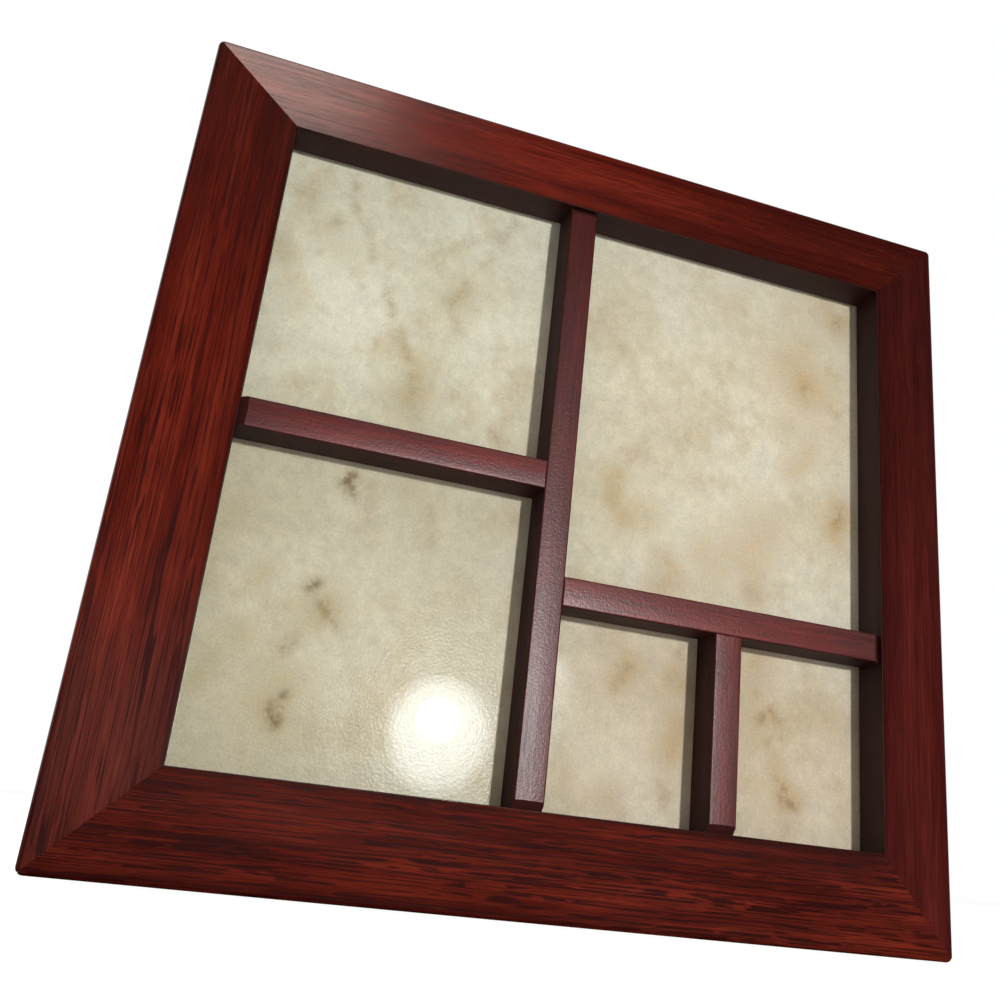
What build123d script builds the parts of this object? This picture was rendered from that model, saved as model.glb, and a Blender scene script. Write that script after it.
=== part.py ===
from build123d import *
from math import cos, radians
import os

# Collage photo frame with five windows, hung on a wall or stood on its easel leg.
# Lengths are in millimetres and angles in degrees. Seen from the front, +X is to the right
# and +Z is up. The front faces -Y and the wall is the plane y = 0. The origin is on the wall
# plane, at the middle notch of the hanger.

# Sight opening inside the four rails, and the windows that the dividers leave in it
sight_width = 184.0
sight_height = 169.4
left_column_width = 80.5
lower_left_height = 81.3
small_window_height = 50.7

# Rails: the face slopes back from the lip at the windows to the outer edge
rail_width = 25.4
face_drop = 5.6
window_depth = 10.5
rabbet_width = 6.0
lip_radius = 0.6
outer_edge_radius = 1.5
back_edge_chamfer = 0.6
corner_radius = 1.8

# Dividers
divider_width = 7.9
divider_sink = 0.1
divider_edge_radius = 0.4
end_chamfer_run = 2.2
end_chamfer_drop = 1.8
butt_chamfer = 0.2

# Dowels that join the dividers to the rails and to each other
dowel_radius = 1.5
dowel_in_end = 8.0
dowel_in_rail = 7.0
dowel_in_side = 5.0

# V-shaped nails across the mitres, driven in from the back
v_nail_arm = 5.0
v_nail_thickness = 0.5
v_nail_height = 7.0
v_nail_inner_place = 12.0
v_nail_outer_place = 20.0

# What lies in the rabbet, from the front to the back
glass_thickness = 2.0
sheet_thickness = 0.3
card_thickness = 2.0
board_thickness = 3.0
board_recess = 0.2
pane_play = 1.0
board_corner_radius = 1.5

# Rubber bumpers that hold the lower corners off the wall
bumper_radius = 5.0
bumper_thickness = 5.0
bumper_edge_radius = 1.2
bumper_inset = 12.5

# Turn buttons and their screws
button_length = 24.0
button_width = 9.0
button_thickness = 1.2
button_gap = 0.15
button_edge_radius = 0.35
button_spacing = 92.0
button_pivot_place = 15.5
button_bore_clearance = 0.05
screw_radius = 1.5
screw_length = 9.0
screw_head_radius = 3.2
screw_head_height = 1.7
screw_head_edge_radius = 1.1
screw_slot_width = 0.8
screw_slot_depth = 0.7
screw_slot_length = 3.6

# Sawtooth hanger and its nails
hang_drop = 11.0
hanger_length = 46.0
hanger_above_notch = 6.0
hanger_thickness = 0.8
hanger_lift = 1.4
hanger_foot = 9.0
hanger_ramp = 2.5
hanger_corner_radius = 1.5
tooth_pitch = 4.0
tooth_depth = 1.8
tooth_count = 5
hanger_nail_radius = 0.8
hanger_nail_length = 9.0
hanger_nail_head_radius = 1.8
hanger_nail_head_height = 0.6

# Easel leg
hinge_height = 150.0
lean_angle = 16.0
open_angle = 30.0
leg_thickness = 2.8
leg_clearance = 0.6
leg_top_width = 34.0
leg_foot_width = 58.0
leg_top_gap = 0.4
leg_corner_radius = 3.0

# Hinge between the backing board and the leg
hinge_width = 30.0
hinge_pin_radius = 1.0
hinge_pin_clearance = 0.05
hinge_barrel_wall = 0.85
knuckle_width = 11.0
knuckle_gap = 0.3
leaf_thickness = 0.7
leaf_height = 15.0
leaf_corner_radius = 2.0
stop_tab_width = 6.0
stop_tab_overlap = 2.0
stop_clearance = 0.3
rivet_radius = 1.2
rivet_head_radius = 2.3
rivet_head_height = 0.6
rivet_spacing = 18.0
rivet_place = 9.5

# How far a cutting solid runs past what it cuts
overrun = 1.0

# Depths, from the wall towards the viewer
rail_back = -bumper_thickness
board_back = rail_back - board_recess
board_front = board_back - board_thickness
card_front = board_front - card_thickness
sheet_front = card_front - sheet_thickness
glass_front = sheet_front - glass_thickness
lip_level = glass_front - window_depth
outer_face_level = lip_level + face_drop
divider_face = lip_level + divider_sink
divider_middle = (glass_front + divider_face) / 2

# Places across the front
sight_left = -sight_width / 2
sight_right = sight_width / 2
sight_top = hang_drop - rail_width
sight_bottom = sight_top - sight_height
sight_middle = (sight_top + sight_bottom) / 2
outer_bottom = sight_bottom - rail_width
vertical_x = sight_left + left_column_width + divider_width / 2
vertical_left = vertical_x - divider_width / 2
vertical_right = vertical_x + divider_width / 2
left_cross_z = sight_bottom + lower_left_height + divider_width / 2
right_cross_z = sight_bottom + small_window_height + divider_width / 2
small_divider_x = (vertical_right + sight_right) / 2
pane_width = sight_width + 2 * (rabbet_width - pane_play)
pane_height = sight_height + 2 * (rabbet_width - pane_play)
button_pivot_x = sight_width / 2 + button_pivot_place

# Hinge axis, which runs along X
barrel_radius = hinge_pin_radius + hinge_pin_clearance + hinge_barrel_wall
leg_front = board_back + leg_clearance
leg_back = leg_front + leg_thickness
hinge_y = leg_back + leaf_thickness - barrel_radius
hinge_z = outer_bottom + hinge_height
leg_length = hinge_height * cos(radians(lean_angle)) / cos(radians(open_angle - lean_angle))


def block(x_ends, y_ends, z_ends):
    """A box between two ends along each axis."""
    middles = [(low + high) / 2 for low, high in (x_ends, y_ends, z_ends)]
    spans = [abs(high - low) for low, high in (x_ends, y_ends, z_ends)]
    return Pos(*middles) * Box(*spans)


def rod_x(radius, x_ends, y, z):
    """A round rod along X."""
    length = x_ends[1] - x_ends[0]
    return Pos((x_ends[0] + x_ends[1]) / 2, y, z) * Rot(0, 90, 0) * Cylinder(radius, length)


def rod_y(radius, y_ends, x, z):
    """A round rod along Y."""
    length = y_ends[1] - y_ends[0]
    return Pos(x, (y_ends[0] + y_ends[1]) / 2, z) * Rot(90, 0, 0) * Cylinder(radius, length)


def rod_z(radius, z_ends, x, y):
    """A round rod along Z."""
    length = z_ends[1] - z_ends[0]
    return Pos(x, y, (z_ends[0] + z_ends[1]) / 2) * Cylinder(radius, length)


def front_plate(outline, y_ends):
    """A plate whose outline is drawn in X and Z, between two depths."""
    low, high = min(y_ends), max(y_ends)
    standing = Plane(origin=(0, low, 0), x_dir=(1, 0, 0), z_dir=(0, -1, 0))
    return extrude(standing * outline, amount=-(high - low))


def rounded_front(width, height, radius, x, z, y_ends):
    """A plate with rounded corners, seen from the front."""
    return front_plate(Pos(x, z) * RectangleRounded(width, height, radius), y_ends)


def rail_section():
    """The rail's section in Y and Z, with Z measured outward from the lip."""
    corners = [
        (lip_level, 0),
        (outer_face_level, rail_width),
        (rail_back, rail_width),
        (rail_back, rabbet_width),
        (glass_front, rabbet_width),
        (glass_front, 0),
    ]
    section = make_face(Polyline(*corners, close=True))
    by_depth = section.vertices().sort_by(Axis.X)
    section = fillet(by_depth[0], lip_radius)
    outer_front = section.vertices().sort_by_distance((outer_face_level, rail_width, 0))[0]
    section = fillet(outer_front, outer_edge_radius)
    outer_back = section.vertices().sort_by_distance((rail_back, rail_width, 0))[0]
    return chamfer(outer_back, back_edge_chamfer)


def mitred_bar(sight_length):
    """A rail over a sight edge of this length, lying along X with its outer side up."""
    half_sight = sight_length / 2
    half_outer = half_sight + rail_width
    across = Plane(origin=(-half_outer, 0, 0), x_dir=(0, 1, 0), z_dir=(1, 0, 0))
    bar = extrude(across * rail_section(), amount=2 * half_outer)
    mitre_ends = [(-half_sight, 0), (half_sight, 0), (half_outer, rail_width), (-half_outer, rail_width)]
    mitre = front_plate(make_face(Polyline(*mitre_ends, close=True)), (lip_level, rail_back))
    return bar & mitre


def frame_outline():
    """The frame's outline seen from the front, with its eased corners."""
    width = sight_width + 2 * rail_width
    height = sight_height + 2 * rail_width
    return rounded_front(width, height, corner_radius, 0, sight_middle, (lip_level, rail_back))


def rail(turn, sight_length, reach, cuts):
    """One rail, turned about Y and set out from the middle of the sight opening."""
    placed = Pos(0, 0, sight_middle) * Rot(0, turn, 0) * Pos(0, 0, reach) * mitred_bar(sight_length)
    return placed & frame_outline() - cuts


def divider_bar(length, rail_ends):
    """A divider standing along Z from zero; rail_ends tells which ends meet a rail, low then high."""
    bar = block((-divider_width / 2, divider_width / 2), (divider_face, glass_front), (0, length))
    front_edges = bar.edges().filter_by(Axis.Z).sort_by(Axis.Y)[:2]
    bar = fillet(front_edges, divider_edge_radius)
    across = Plane(origin=(-divider_width / 2, 0, 0), x_dir=(0, 1, 0), z_dir=(1, 0, 0))
    for at_rail, end, inward in ((rail_ends[0], 0, 1), (rail_ends[1], length, -1)):
        run = end_chamfer_run if at_rail else butt_chamfer
        drop = end_chamfer_drop if at_rail else butt_chamfer
        corner = [(divider_face, end), (divider_face, end + inward * run), (divider_face + drop, end)]
        bar -= extrude(across * make_face(Polyline(*corner, close=True)), amount=divider_width)
    return bar


def standing_divider(x, z_ends, rail_ends):
    """A divider that runs up and down."""
    return Pos(x, 0, z_ends[0]) * divider_bar(z_ends[1] - z_ends[0], rail_ends)


def cross_divider(z, x_ends, rail_ends):
    """A divider that runs from left to right."""
    return Pos(x_ends[0], 0, z) * Rot(0, 90, 0) * divider_bar(x_ends[1] - x_ends[0], rail_ends)


def standing_dowel(x, joint_z, below, above):
    """A dowel across a joint at this height."""
    return rod_z(dowel_radius, (joint_z - below, joint_z + above), x, divider_middle)


def lying_dowel(z, joint_x, to_left, to_right):
    """A dowel across a joint at this distance from the middle."""
    return rod_x(dowel_radius, (joint_x - to_left, joint_x + to_right), divider_middle, z)


def dowels():
    """One dowel at each end of each divider, part in the divider and part in what it meets."""
    under_cross = right_cross_z - divider_width / 2
    return [
        standing_dowel(vertical_x, sight_bottom, dowel_in_rail, dowel_in_end),
        standing_dowel(vertical_x, sight_top, dowel_in_end, dowel_in_rail),
        lying_dowel(left_cross_z, sight_left, dowel_in_rail, dowel_in_end),
        lying_dowel(left_cross_z, vertical_left, dowel_in_end, dowel_in_side),
        lying_dowel(right_cross_z, vertical_right, dowel_in_side, dowel_in_end),
        lying_dowel(right_cross_z, sight_right, dowel_in_end, dowel_in_rail),
        standing_dowel(small_divider_x, sight_bottom, dowel_in_rail, dowel_in_end),
        standing_dowel(small_divider_x, under_cross, dowel_in_end, dowel_in_side),
    ]


def v_nail(place, side_x, side_z):
    """A nail over one mitre, this far out from the lip, with an arm in each of the two rails."""
    x = side_x * (sight_width / 2 + place)
    z = sight_middle + side_z * (sight_height / 2 + place)
    depth = (rail_back - v_nail_height, rail_back)
    along_x = block((x - side_x * v_nail_arm, x), depth, (z - side_z * v_nail_thickness, z))
    along_z = block((x - side_x * v_nail_thickness, x), depth, (z - side_z * v_nail_arm, z))
    return along_x + along_z


def v_nails():
    """Two nails at each corner."""
    sides = [(side_x, side_z) for side_x in (-1, 1) for side_z in (-1, 1)]
    places = (v_nail_inner_place, v_nail_outer_place)
    return [v_nail(place, side_x, side_z) for side_x, side_z in sides for place in places]


def pane(y_ends):
    """Something flat that lies in the rabbet between two depths."""
    return rounded_front(pane_width, pane_height, board_corner_radius, 0, sight_middle, y_ends)


def backing_board(rivets):
    """The board that closes the back, with the holes for the hinge's rivets."""
    return pane((board_front, board_back)) - rivets


def bumpers():
    """The two bumpers on the backs of the lower corners."""
    bumper = Rot(90, 0, 0) * Cylinder(bumper_radius, bumper_thickness)
    wall_edge = bumper.edges().sort_by(Axis.Y)[-1]
    bumper = Pos(0, -bumper_thickness / 2, 0) * fillet(wall_edge, bumper_edge_radius)
    x = sight_width / 2 + rail_width - bumper_inset
    z = outer_bottom + bumper_inset
    return [Pos(side * x, 0, z) * bumper for side in (-1, 1)]


def turn_button(side_x, side_z):
    """A turn button that points inward over the backing board."""
    end_radius = button_width / 2
    reach = button_length - 2 * end_radius
    lies = (rail_back + button_gap, rail_back + button_gap + button_thickness)
    plate = front_plate(Pos(reach / 2, 0) * SlotOverall(button_length, button_width), lies)
    outer_edges = plate.edges().group_by(Axis.Y)[-1]
    plate = fillet(outer_edges, button_edge_radius)
    bore_ends = (lies[0] - overrun, lies[1] + overrun)
    plate -= rod_y(screw_radius + button_bore_clearance, bore_ends, 0, 0)
    facing = 180 if side_x > 0 else 0
    place = Pos(side_x * button_pivot_x, 0, sight_middle + side_z * button_spacing / 2)
    return place * Rot(0, facing, 0) * plate


def button_screw(side_x, side_z):
    """The screw that a turn button pivots on, with a cross slot in its domed head."""
    head_foot = rail_back + 2 * button_gap + button_thickness
    head_top = head_foot + screw_head_height
    head = rod_y(screw_head_radius, (head_foot, head_top), 0, 0)
    head = fillet(head.edges().sort_by(Axis.Y)[-1], screw_head_edge_radius)
    screw = head + rod_y(screw_radius, (head_foot - screw_length, head_foot), 0, 0)
    slot_depth = (head_top - screw_slot_depth, head_top + overrun)
    along = (-screw_slot_length / 2, screw_slot_length / 2)
    across = (-screw_slot_width / 2, screw_slot_width / 2)
    screw -= block(along, slot_depth, across) + block(across, slot_depth, along)
    return Pos(side_x * button_pivot_x, 0, sight_middle + side_z * button_spacing / 2) * screw


def button_screws():
    """The four screws of the turn buttons."""
    return [button_screw(side_x, side_z) for side_x in (-1, 1) for side_z in (-1, 1)]


def hanger_nails():
    """The two nails at the ends of the hanger."""
    x = (hanger_length - hanger_foot) / 2
    z = hanger_above_notch / 2
    head_foot = rail_back + hanger_thickness
    nail = rod_y(hanger_nail_radius, (head_foot - hanger_nail_length, head_foot), 0, 0)
    nail += rod_y(hanger_nail_head_radius, (head_foot, head_foot + hanger_nail_head_height), 0, 0)
    return [Pos(side * x, 0, z) * nail for side in (-1, 1)]


def hanger(nails):
    """A steel strip with its feet on the top rail and its toothed middle raised off it."""
    half = hanger_length / 2
    raised = half - hanger_foot - hanger_ramp
    low, high = rail_back, rail_back + hanger_lift
    strip_edge = [
        (-half, low), (-half + hanger_foot, low), (-raised, high), (raised, high),
        (half - hanger_foot, low), (half, low),
    ]
    outer = [(x, y + hanger_thickness) for x, y in reversed(strip_edge)]
    bent = make_face(Polyline(*strip_edge, *outer, close=True))
    strip = extrude(Pos(0, 0, -tooth_depth) * bent, amount=hanger_above_notch + tooth_depth)
    teeth = []
    for count in range(tooth_count):
        x = (count - (tooth_count - 1) / 2) * tooth_pitch
        notch = [(x - tooth_pitch / 2, -tooth_depth), (x, 0), (x + tooth_pitch / 2, -tooth_depth)]
        teeth.append(front_plate(make_face(Polyline(*notch, close=True)), (low, high + hanger_thickness)))
    outline = rounded_front(
        hanger_length, hanger_above_notch + tooth_depth, hanger_corner_radius,
        0, (hanger_above_notch - tooth_depth) / 2, (low, high + hanger_thickness),
    )
    return strip & outline - teeth - nails


def knuckle_cuts(x_ends):
    """The bore of the hinge pin through some knuckles."""
    bore_ends = (x_ends[0] - overrun, x_ends[1] + overrun)
    return rod_x(hinge_pin_radius + hinge_pin_clearance, bore_ends, hinge_y, hinge_z)


def leaf_plate(z_ends, y_ends):
    """The flat of a hinge leaf."""
    height = abs(z_ends[1] - z_ends[0])
    return rounded_front(hinge_width, height, leaf_corner_radius, 0, (z_ends[0] + z_ends[1]) / 2, y_ends)


def rivet(x, z, y_foot, y_face):
    """A rivet from the front of what it holds to the outside of the leaf, with its head there."""
    shank = rod_y(rivet_radius, (y_foot, y_face), x, z)
    return shank + rod_y(rivet_head_radius, (y_face, y_face + rivet_head_height), x, z)


def board_rivets():
    """The rivets of the leaf on the backing board."""
    z = hinge_z + rivet_place
    face = board_back + leaf_thickness
    return [rivet(side * rivet_spacing / 2, z, board_front, face) for side in (-1, 1)]


def leg_rivets():
    """The rivets of the leaf on the leg."""
    z = hinge_z - rivet_place
    face = leg_back + leaf_thickness
    return [rivet(side * rivet_spacing / 2, z, leg_front, face) for side in (-1, 1)]


def board_leaf(rivets):
    """The fixed leaf: a plate on the board and a knuckle at each side."""
    lies = (board_back, board_back + leaf_thickness)
    clear = barrel_radius + knuckle_gap
    leaf = leaf_plate((hinge_z + clear, hinge_z + leaf_height), lies)
    inner = knuckle_width / 2 + knuckle_gap
    outer = hinge_width / 2
    foot_top = hinge_z + clear + leaf_corner_radius
    for x_ends in ((-outer, -inner), (inner, outer)):
        leaf += block(x_ends, lies, (hinge_z, foot_top))
        leaf += rod_x(barrel_radius, x_ends, hinge_y, hinge_z)
        leaf += block(x_ends, (board_back, hinge_y), (hinge_z, hinge_z + barrel_radius))
    return leaf - knuckle_cuts((-outer, outer)) - rivets


def leg_leaf(rivets):
    """The moving leaf: a plate on the leg, the middle knuckle and the tab that stops the leg."""
    lies = (leg_back, leg_back + leaf_thickness)
    clear = barrel_radius + knuckle_gap
    leaf = leaf_plate((hinge_z - leaf_height, hinge_z - clear), lies)
    x_ends = (-knuckle_width / 2, knuckle_width / 2)
    foot_low = hinge_z - clear - leaf_corner_radius
    leaf += block(x_ends, lies, (foot_low, hinge_z))
    leaf += rod_x(barrel_radius, x_ends, hinge_y, hinge_z)
    leaf += block(x_ends, (hinge_y, leg_back + leaf_thickness), (hinge_z - barrel_radius, hinge_z))
    tab_foot = board_back + leaf_thickness + stop_clearance
    tab = block(
        (-stop_tab_width / 2, stop_tab_width / 2),
        (tab_foot, tab_foot + leaf_thickness),
        (hinge_z, hinge_z + clear + stop_tab_overlap),
    )
    axis_place = Pos(0, hinge_y, hinge_z)
    leaf += axis_place * Rot(-open_angle, 0, 0) * axis_place.inverse() * tab
    return leaf - knuckle_cuts(x_ends) - rivets


def hinge_pin():
    """The pin through all the knuckles."""
    return rod_x(hinge_pin_radius, (-hinge_width / 2, hinge_width / 2), hinge_y, hinge_z)


def easel_leg(rivets):
    """The tapered leg that folds flat against the back."""
    top = hinge_z - barrel_radius - leg_top_gap
    foot = hinge_z - leg_length
    half_top = leg_top_width / 2
    half_foot = leg_foot_width / 2
    corners = [(-half_top, top), (half_top, top), (half_foot, foot), (-half_foot, foot)]
    outline = make_face(Polyline(*corners, close=True))
    outline = fillet(outline.vertices(), leg_corner_radius)
    return front_plate(outline, (leg_front, leg_back)) - rivets


def group(solids):
    """Several separate solids in one node."""
    return Compound(children=solids)


def build_nodes():
    """Every node of the frame by name."""
    dowel_set = dowels()
    v_nail_set = v_nails()
    screw_set = button_screws()
    nail_set = hanger_nails()
    board_rivet_set = board_rivets()
    leg_rivet_set = leg_rivets()
    rail_cuts = dowel_set + v_nail_set + screw_set + nail_set
    half_width = sight_width / 2
    half_height = sight_height / 2
    under_cross = right_cross_z - divider_width / 2
    vertical = standing_divider(vertical_x, (sight_bottom, sight_top), (True, True))
    left_cross = cross_divider(left_cross_z, (sight_left, vertical_left), (True, False))
    right_cross = cross_divider(right_cross_z, (vertical_right, sight_right), (False, True))
    small = standing_divider(small_divider_x, (sight_bottom, under_cross), (True, False))
    nodes = {
        "top_rail": rail(0, sight_width, half_height, rail_cuts),
        "right_rail": rail(90, sight_height, half_width, rail_cuts),
        "bottom_rail": rail(180, sight_width, half_height, rail_cuts),
        "left_rail": rail(-90, sight_height, half_width, rail_cuts),
        "vertical_divider": vertical - dowel_set,
        "left_cross_divider": left_cross - dowel_set,
        "right_cross_divider": right_cross - dowel_set,
        "small_divider": small - dowel_set,
        "divider_dowels": group(dowel_set),
        "corner_v_nails": group(v_nail_set),
        "glass_pane": pane((glass_front, sheet_front)),
        "display_sheet": pane((sheet_front, card_front)),
        "filler_card": pane((card_front, board_front)),
        "backing_board": backing_board(board_rivet_set),
        "bumpers": group(bumpers()),
        "turn_button_screws": group(screw_set),
        "sawtooth_hanger": hanger(nail_set),
        "hanger_nails": group(nail_set),
        "hinge_board_leaf": board_leaf(board_rivet_set),
        "hinge_pin": hinge_pin(),
        "board_rivets": group(board_rivet_set),
        "hinge_leg_leaf": leg_leaf(leg_rivet_set),
        "leg_rivets": group(leg_rivet_set),
        "easel_leg": easel_leg(leg_rivet_set),
    }
    for side_x, across in ((-1, "left"), (1, "right")):
        for side_z, height in ((1, "upper"), (-1, "lower")):
            nodes[f"turn_button_{across}_{height}"] = turn_button(side_x, side_z)
    return nodes


os.makedirs("parts", exist_ok=True)
for name, shape in build_nodes().items():
    export_step(shape, f"parts/{name}.step")
    print(name, len(shape.solids()), "solids,", round(shape.volume), "cubic mm")
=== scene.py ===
import math

import bmesh
import bpy
import numpy as np
from mathutils import Matrix, Vector


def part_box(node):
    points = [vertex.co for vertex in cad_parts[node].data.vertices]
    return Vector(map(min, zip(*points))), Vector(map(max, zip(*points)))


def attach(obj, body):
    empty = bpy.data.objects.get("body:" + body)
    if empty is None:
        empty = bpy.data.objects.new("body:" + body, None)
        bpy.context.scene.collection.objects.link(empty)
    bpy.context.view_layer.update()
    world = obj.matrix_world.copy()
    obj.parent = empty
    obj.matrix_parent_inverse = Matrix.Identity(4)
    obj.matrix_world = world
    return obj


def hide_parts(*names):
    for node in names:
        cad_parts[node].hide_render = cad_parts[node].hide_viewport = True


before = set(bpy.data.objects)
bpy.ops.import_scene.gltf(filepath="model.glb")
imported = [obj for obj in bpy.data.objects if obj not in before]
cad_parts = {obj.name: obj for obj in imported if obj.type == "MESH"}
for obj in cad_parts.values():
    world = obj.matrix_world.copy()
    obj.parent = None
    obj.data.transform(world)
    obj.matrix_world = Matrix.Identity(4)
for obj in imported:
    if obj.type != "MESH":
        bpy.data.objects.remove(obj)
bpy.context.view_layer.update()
mm = 0.001

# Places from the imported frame
lipAllowance = 0.08 * mm  # what the lip's round takes off its sharp edge
topLow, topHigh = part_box("top_rail")
bottomLow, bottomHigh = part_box("bottom_rail")
places = {
    "outerLeft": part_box("left_rail")[0].x,
    "outerRight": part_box("right_rail")[1].x,
    "outerTop": topHigh.z,
    "outerBottom": bottomLow.z,
    "lip": topLow.y - lipAllowance,
    "railBack": topHigh.y,
    "glassFront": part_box("glass_pane")[0].y,
}
railWidth = bottomHigh.z - bottomLow.z
places["sightLeft"] = places["outerLeft"] + railWidth
places["sightRight"] = places["outerRight"] - railWidth
places["sightTop"] = places["outerTop"] - railWidth
places["sightBottom"] = places["outerBottom"] + railWidth
print("frame loaded")


# Small helpers for node trees
def startMaterial(name):
    material = bpy.data.materials.new(name)
    material.use_nodes = True
    tree = material.node_tree
    tree.nodes.clear()
    output = tree.nodes.new("ShaderNodeOutputMaterial")
    shader = tree.nodes.new("ShaderNodeBsdfPrincipled")
    tree.links.new(shader.outputs[0], output.inputs["Surface"])
    return material, tree, shader


def feed(tree, socket, value):
    if isinstance(value, bpy.types.NodeSocket):
        tree.links.new(value, socket)
    else:
        socket.default_value = value


def put(tree, kind, inputs=None, **settings):
    made = tree.nodes.new("ShaderNode" + kind)
    for key, value in settings.items():
        setattr(made, key, value)
    for key, value in (inputs or {}).items():
        feed(tree, made.inputs[key], value)
    return made


def calc(tree, operation, first, second=0.0, clamp=False):
    return put(tree, "Math", {0: first, 1: second}, operation=operation, use_clamp=clamp).outputs[0]


def product(tree, *levels):
    total = levels[0]
    for level in levels[1:]:
        total = calc(tree, "MULTIPLY", total, level)
    return total


def mixColours(tree, share, first, second, way="MIX"):
    made = put(tree, "Mix", data_type="RGBA", blend_type=way)
    feed(tree, made.inputs[0], share)
    feed(tree, made.inputs[6], first)
    feed(tree, made.inputs[7], second)
    return made.outputs[2]


def tinted(tree, colour, level):
    grey = put(tree, "CombineColor", {0: level, 1: level, 2: level}).outputs[0]
    return mixColours(tree, 1.0, colour, grey, "MULTIPLY")


def objectPlace(tree):
    return put(tree, "TexCoord").outputs["Object"]


def axisOf(tree, place, axis):
    return put(tree, "SeparateXYZ", {0: place}).outputs[axis]


def attributeOf(tree, name):
    return put(tree, "Attribute", attribute_name=name, attribute_type="GEOMETRY").outputs["Fac"]


# scales are per metre: one for all ways, or one for each axis
def noiseAt(tree, vector, scales, detail=2.0, roughness=0.5):
    if not isinstance(scales, tuple):
        scales = (scales,) * 3
    stretched = put(tree, "VectorMath", {0: vector, 1: scales}, operation="MULTIPLY").outputs[0]
    made = put(tree, "TexNoise", {"Vector": stretched, "Scale": 1.0, "Detail": detail,
                                  "Roughness": roughness})
    return made.outputs["Fac"]


def ramp(tree, value, low, high, lowOut=0.0, highOut=1.0, smooth=True):
    made = put(tree, "MapRange", {"Value": value, "From Min": low, "From Max": high,
                                  "To Min": lowOut, "To Max": highOut},
               interpolation_type="SMOOTHSTEP" if smooth else "LINEAR")
    return made.outputs["Result"]


# thin lines of even width where a noise crosses its middle
def lineAt(tree, noise, halfWidth, depth):
    away = calc(tree, "ABSOLUTE", calc(tree, "SUBTRACT", noise, 0.5))
    return ramp(tree, away, 0.5 * halfWidth, halfWidth, depth, 0.0)


def bumped(tree, shader, height, strength, distance):
    bump = put(tree, "Bump", {"Height": height, "Strength": strength, "Distance": distance})
    feed(tree, shader.inputs["Normal"], bump.outputs[0])


def mixOver(tree, share, first, second):
    both = put(tree, "MixShader", {0: share, 1: first, 2: second})
    output = next(node for node in tree.nodes if node.type == "OUTPUT_MATERIAL")
    tree.links.new(both.outputs[0], output.inputs["Surface"])


def srgb(red, green, blue):
    def toLinear(level):
        level = level / 255
        return level / 12.92 if level <= 0.04045 else ((level + 0.055) / 1.055) ** 2.4
    return (toLinear(red), toLinear(green), toLinear(blue), 1.0)


# Stained wood: the plain values, then what each bar changes of them
upright = (0, math.radians(90), 0)  # turns the lying pattern for a standing bar
plainWood = {
    "turn": (0, 0, 0),
    "pore": 0.04,  # half width of a dark line
    "lines": 1200,  # how close the dark lines lie: noise scale per metre across the bar
    "gaps": 260,  # how often they break: noise scale per metre along it
    "streak": 0.6,  # depth of the long lines
    "fine": 0.5,  # depth of the short ones
    "roughness": 0.35,
    "bump": 0.2,
    "grained": 0.24,  # the grain's part in the bump
    "peel": 1.0,  # the lacquer ripple's part in it
    "fade": ("X", -0.1, 0.1, 1.0, 1.0),  # axis, from and to in metres, and the tone at each: painted shade, darker towards one end as the light and sheen fall off
    "pools": None,  # axis across which a rail gets painted shade towards its edges
    "foot": 1.0,  # painted shade at the frame's lower edge
    "ends": 1.0,  # painted shade beside the left and right rails
}
woodLooks = {
    "leftRail": {
        "turn": upright, "shift": (0.31, 0.07, 0.13), "light": srgb(120, 37, 20), "dark": srgb(98, 23, 9),
        "pore": 0.042, "lines": 760, "gaps": 50, "streak": 1.0, "fine": 0.85, "roughness": 0.26,
        "bump": 0.08, "grained": 1.0, "fade": ("Z", -0.09, 0.0, 1.0, 0.53), "pools": "X", "foot": 0.69,
    },
    "rightRail": {
        "turn": upright, "shift": (0.87, 0.21, 0.45), "light": srgb(93, 29, 24), "dark": srgb(80, 22, 17),
        "lines": 800, "gaps": 30, "roughness": 0.26, "bump": 0.08, "grained": 1.0,
        "fade": ("Z", -0.16, -0.02, 0.95, 0.56), "pools": "X",
    },
    "topRail": {
        "shift": (0.13, 0.35, 0.27), "light": srgb(121, 37, 22), "dark": srgb(102, 25, 13), "lines": 680,
        "gaps": 60, "streak": 0.7, "fine": 0.7, "roughness": 0.24, "bump": 0.07, "grained": 1.0,
        "fade": ("X", -0.03, 0.07, 0.97, 0.42), "pools": "Z",
    },
    "bottomRail": {
        "shift": (0.53, 0.61, 0.77), "light": srgb(109, 33, 19), "dark": srgb(78, 19, 10), "pore": 0.054,
        "lines": 580, "gaps": 85, "streak": 1.0, "fine": 1.0, "roughness": 0.24, "bump": 0.07,
        "grained": 1.0, "fade": ("X", -0.1, 0.09, 0.92, 1.18), "pools": "Z",
    },
    "standingDivider": {
        "turn": upright, "shift": (0.41, 0.93, 0.19), "light": srgb(97, 27, 22), "dark": srgb(79, 18, 15),
        "fade": ("Z", -0.16, -0.02, 1.0, 0.78), "peel": 2.1,
    },
    "smallDivider": {
        "turn": upright, "shift": (0.15, 0.47, 0.83), "light": srgb(108, 36, 31), "dark": srgb(88, 26, 22),
        "peel": 2.2,
    },
    "lyingDivider": {
        "shift": (0.71, 0.33, 0.59), "light": srgb(117, 35, 29), "dark": srgb(94, 24, 19), "lines": 1000,
        "gaps": 110, "roughness": 0.32, "bump": 0.12, "ends": 0.55, "peel": 3.3,
    },
    "dowel": {
        "shift": (0.05, 0.09, 0.03), "light": srgb(206, 180, 140), "dark": srgb(188, 160, 120), "gaps": 200,
        "streak": 0.3, "fine": 0.2, "roughness": 0.6, "peel": 0.0,
    },
}
# noise scales per metre: along the bar, then across it
grainScales = {
    "wander": (9, 40, 40),
    "bands": (11, 190, 190),
    "cluster": (40, 150, 150),
    "fibre": (95, 2500, 2500),
    "sheen": (14, 60, 60),
    "ripple": 1900,
}
wanderReach = 2 * mm
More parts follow.
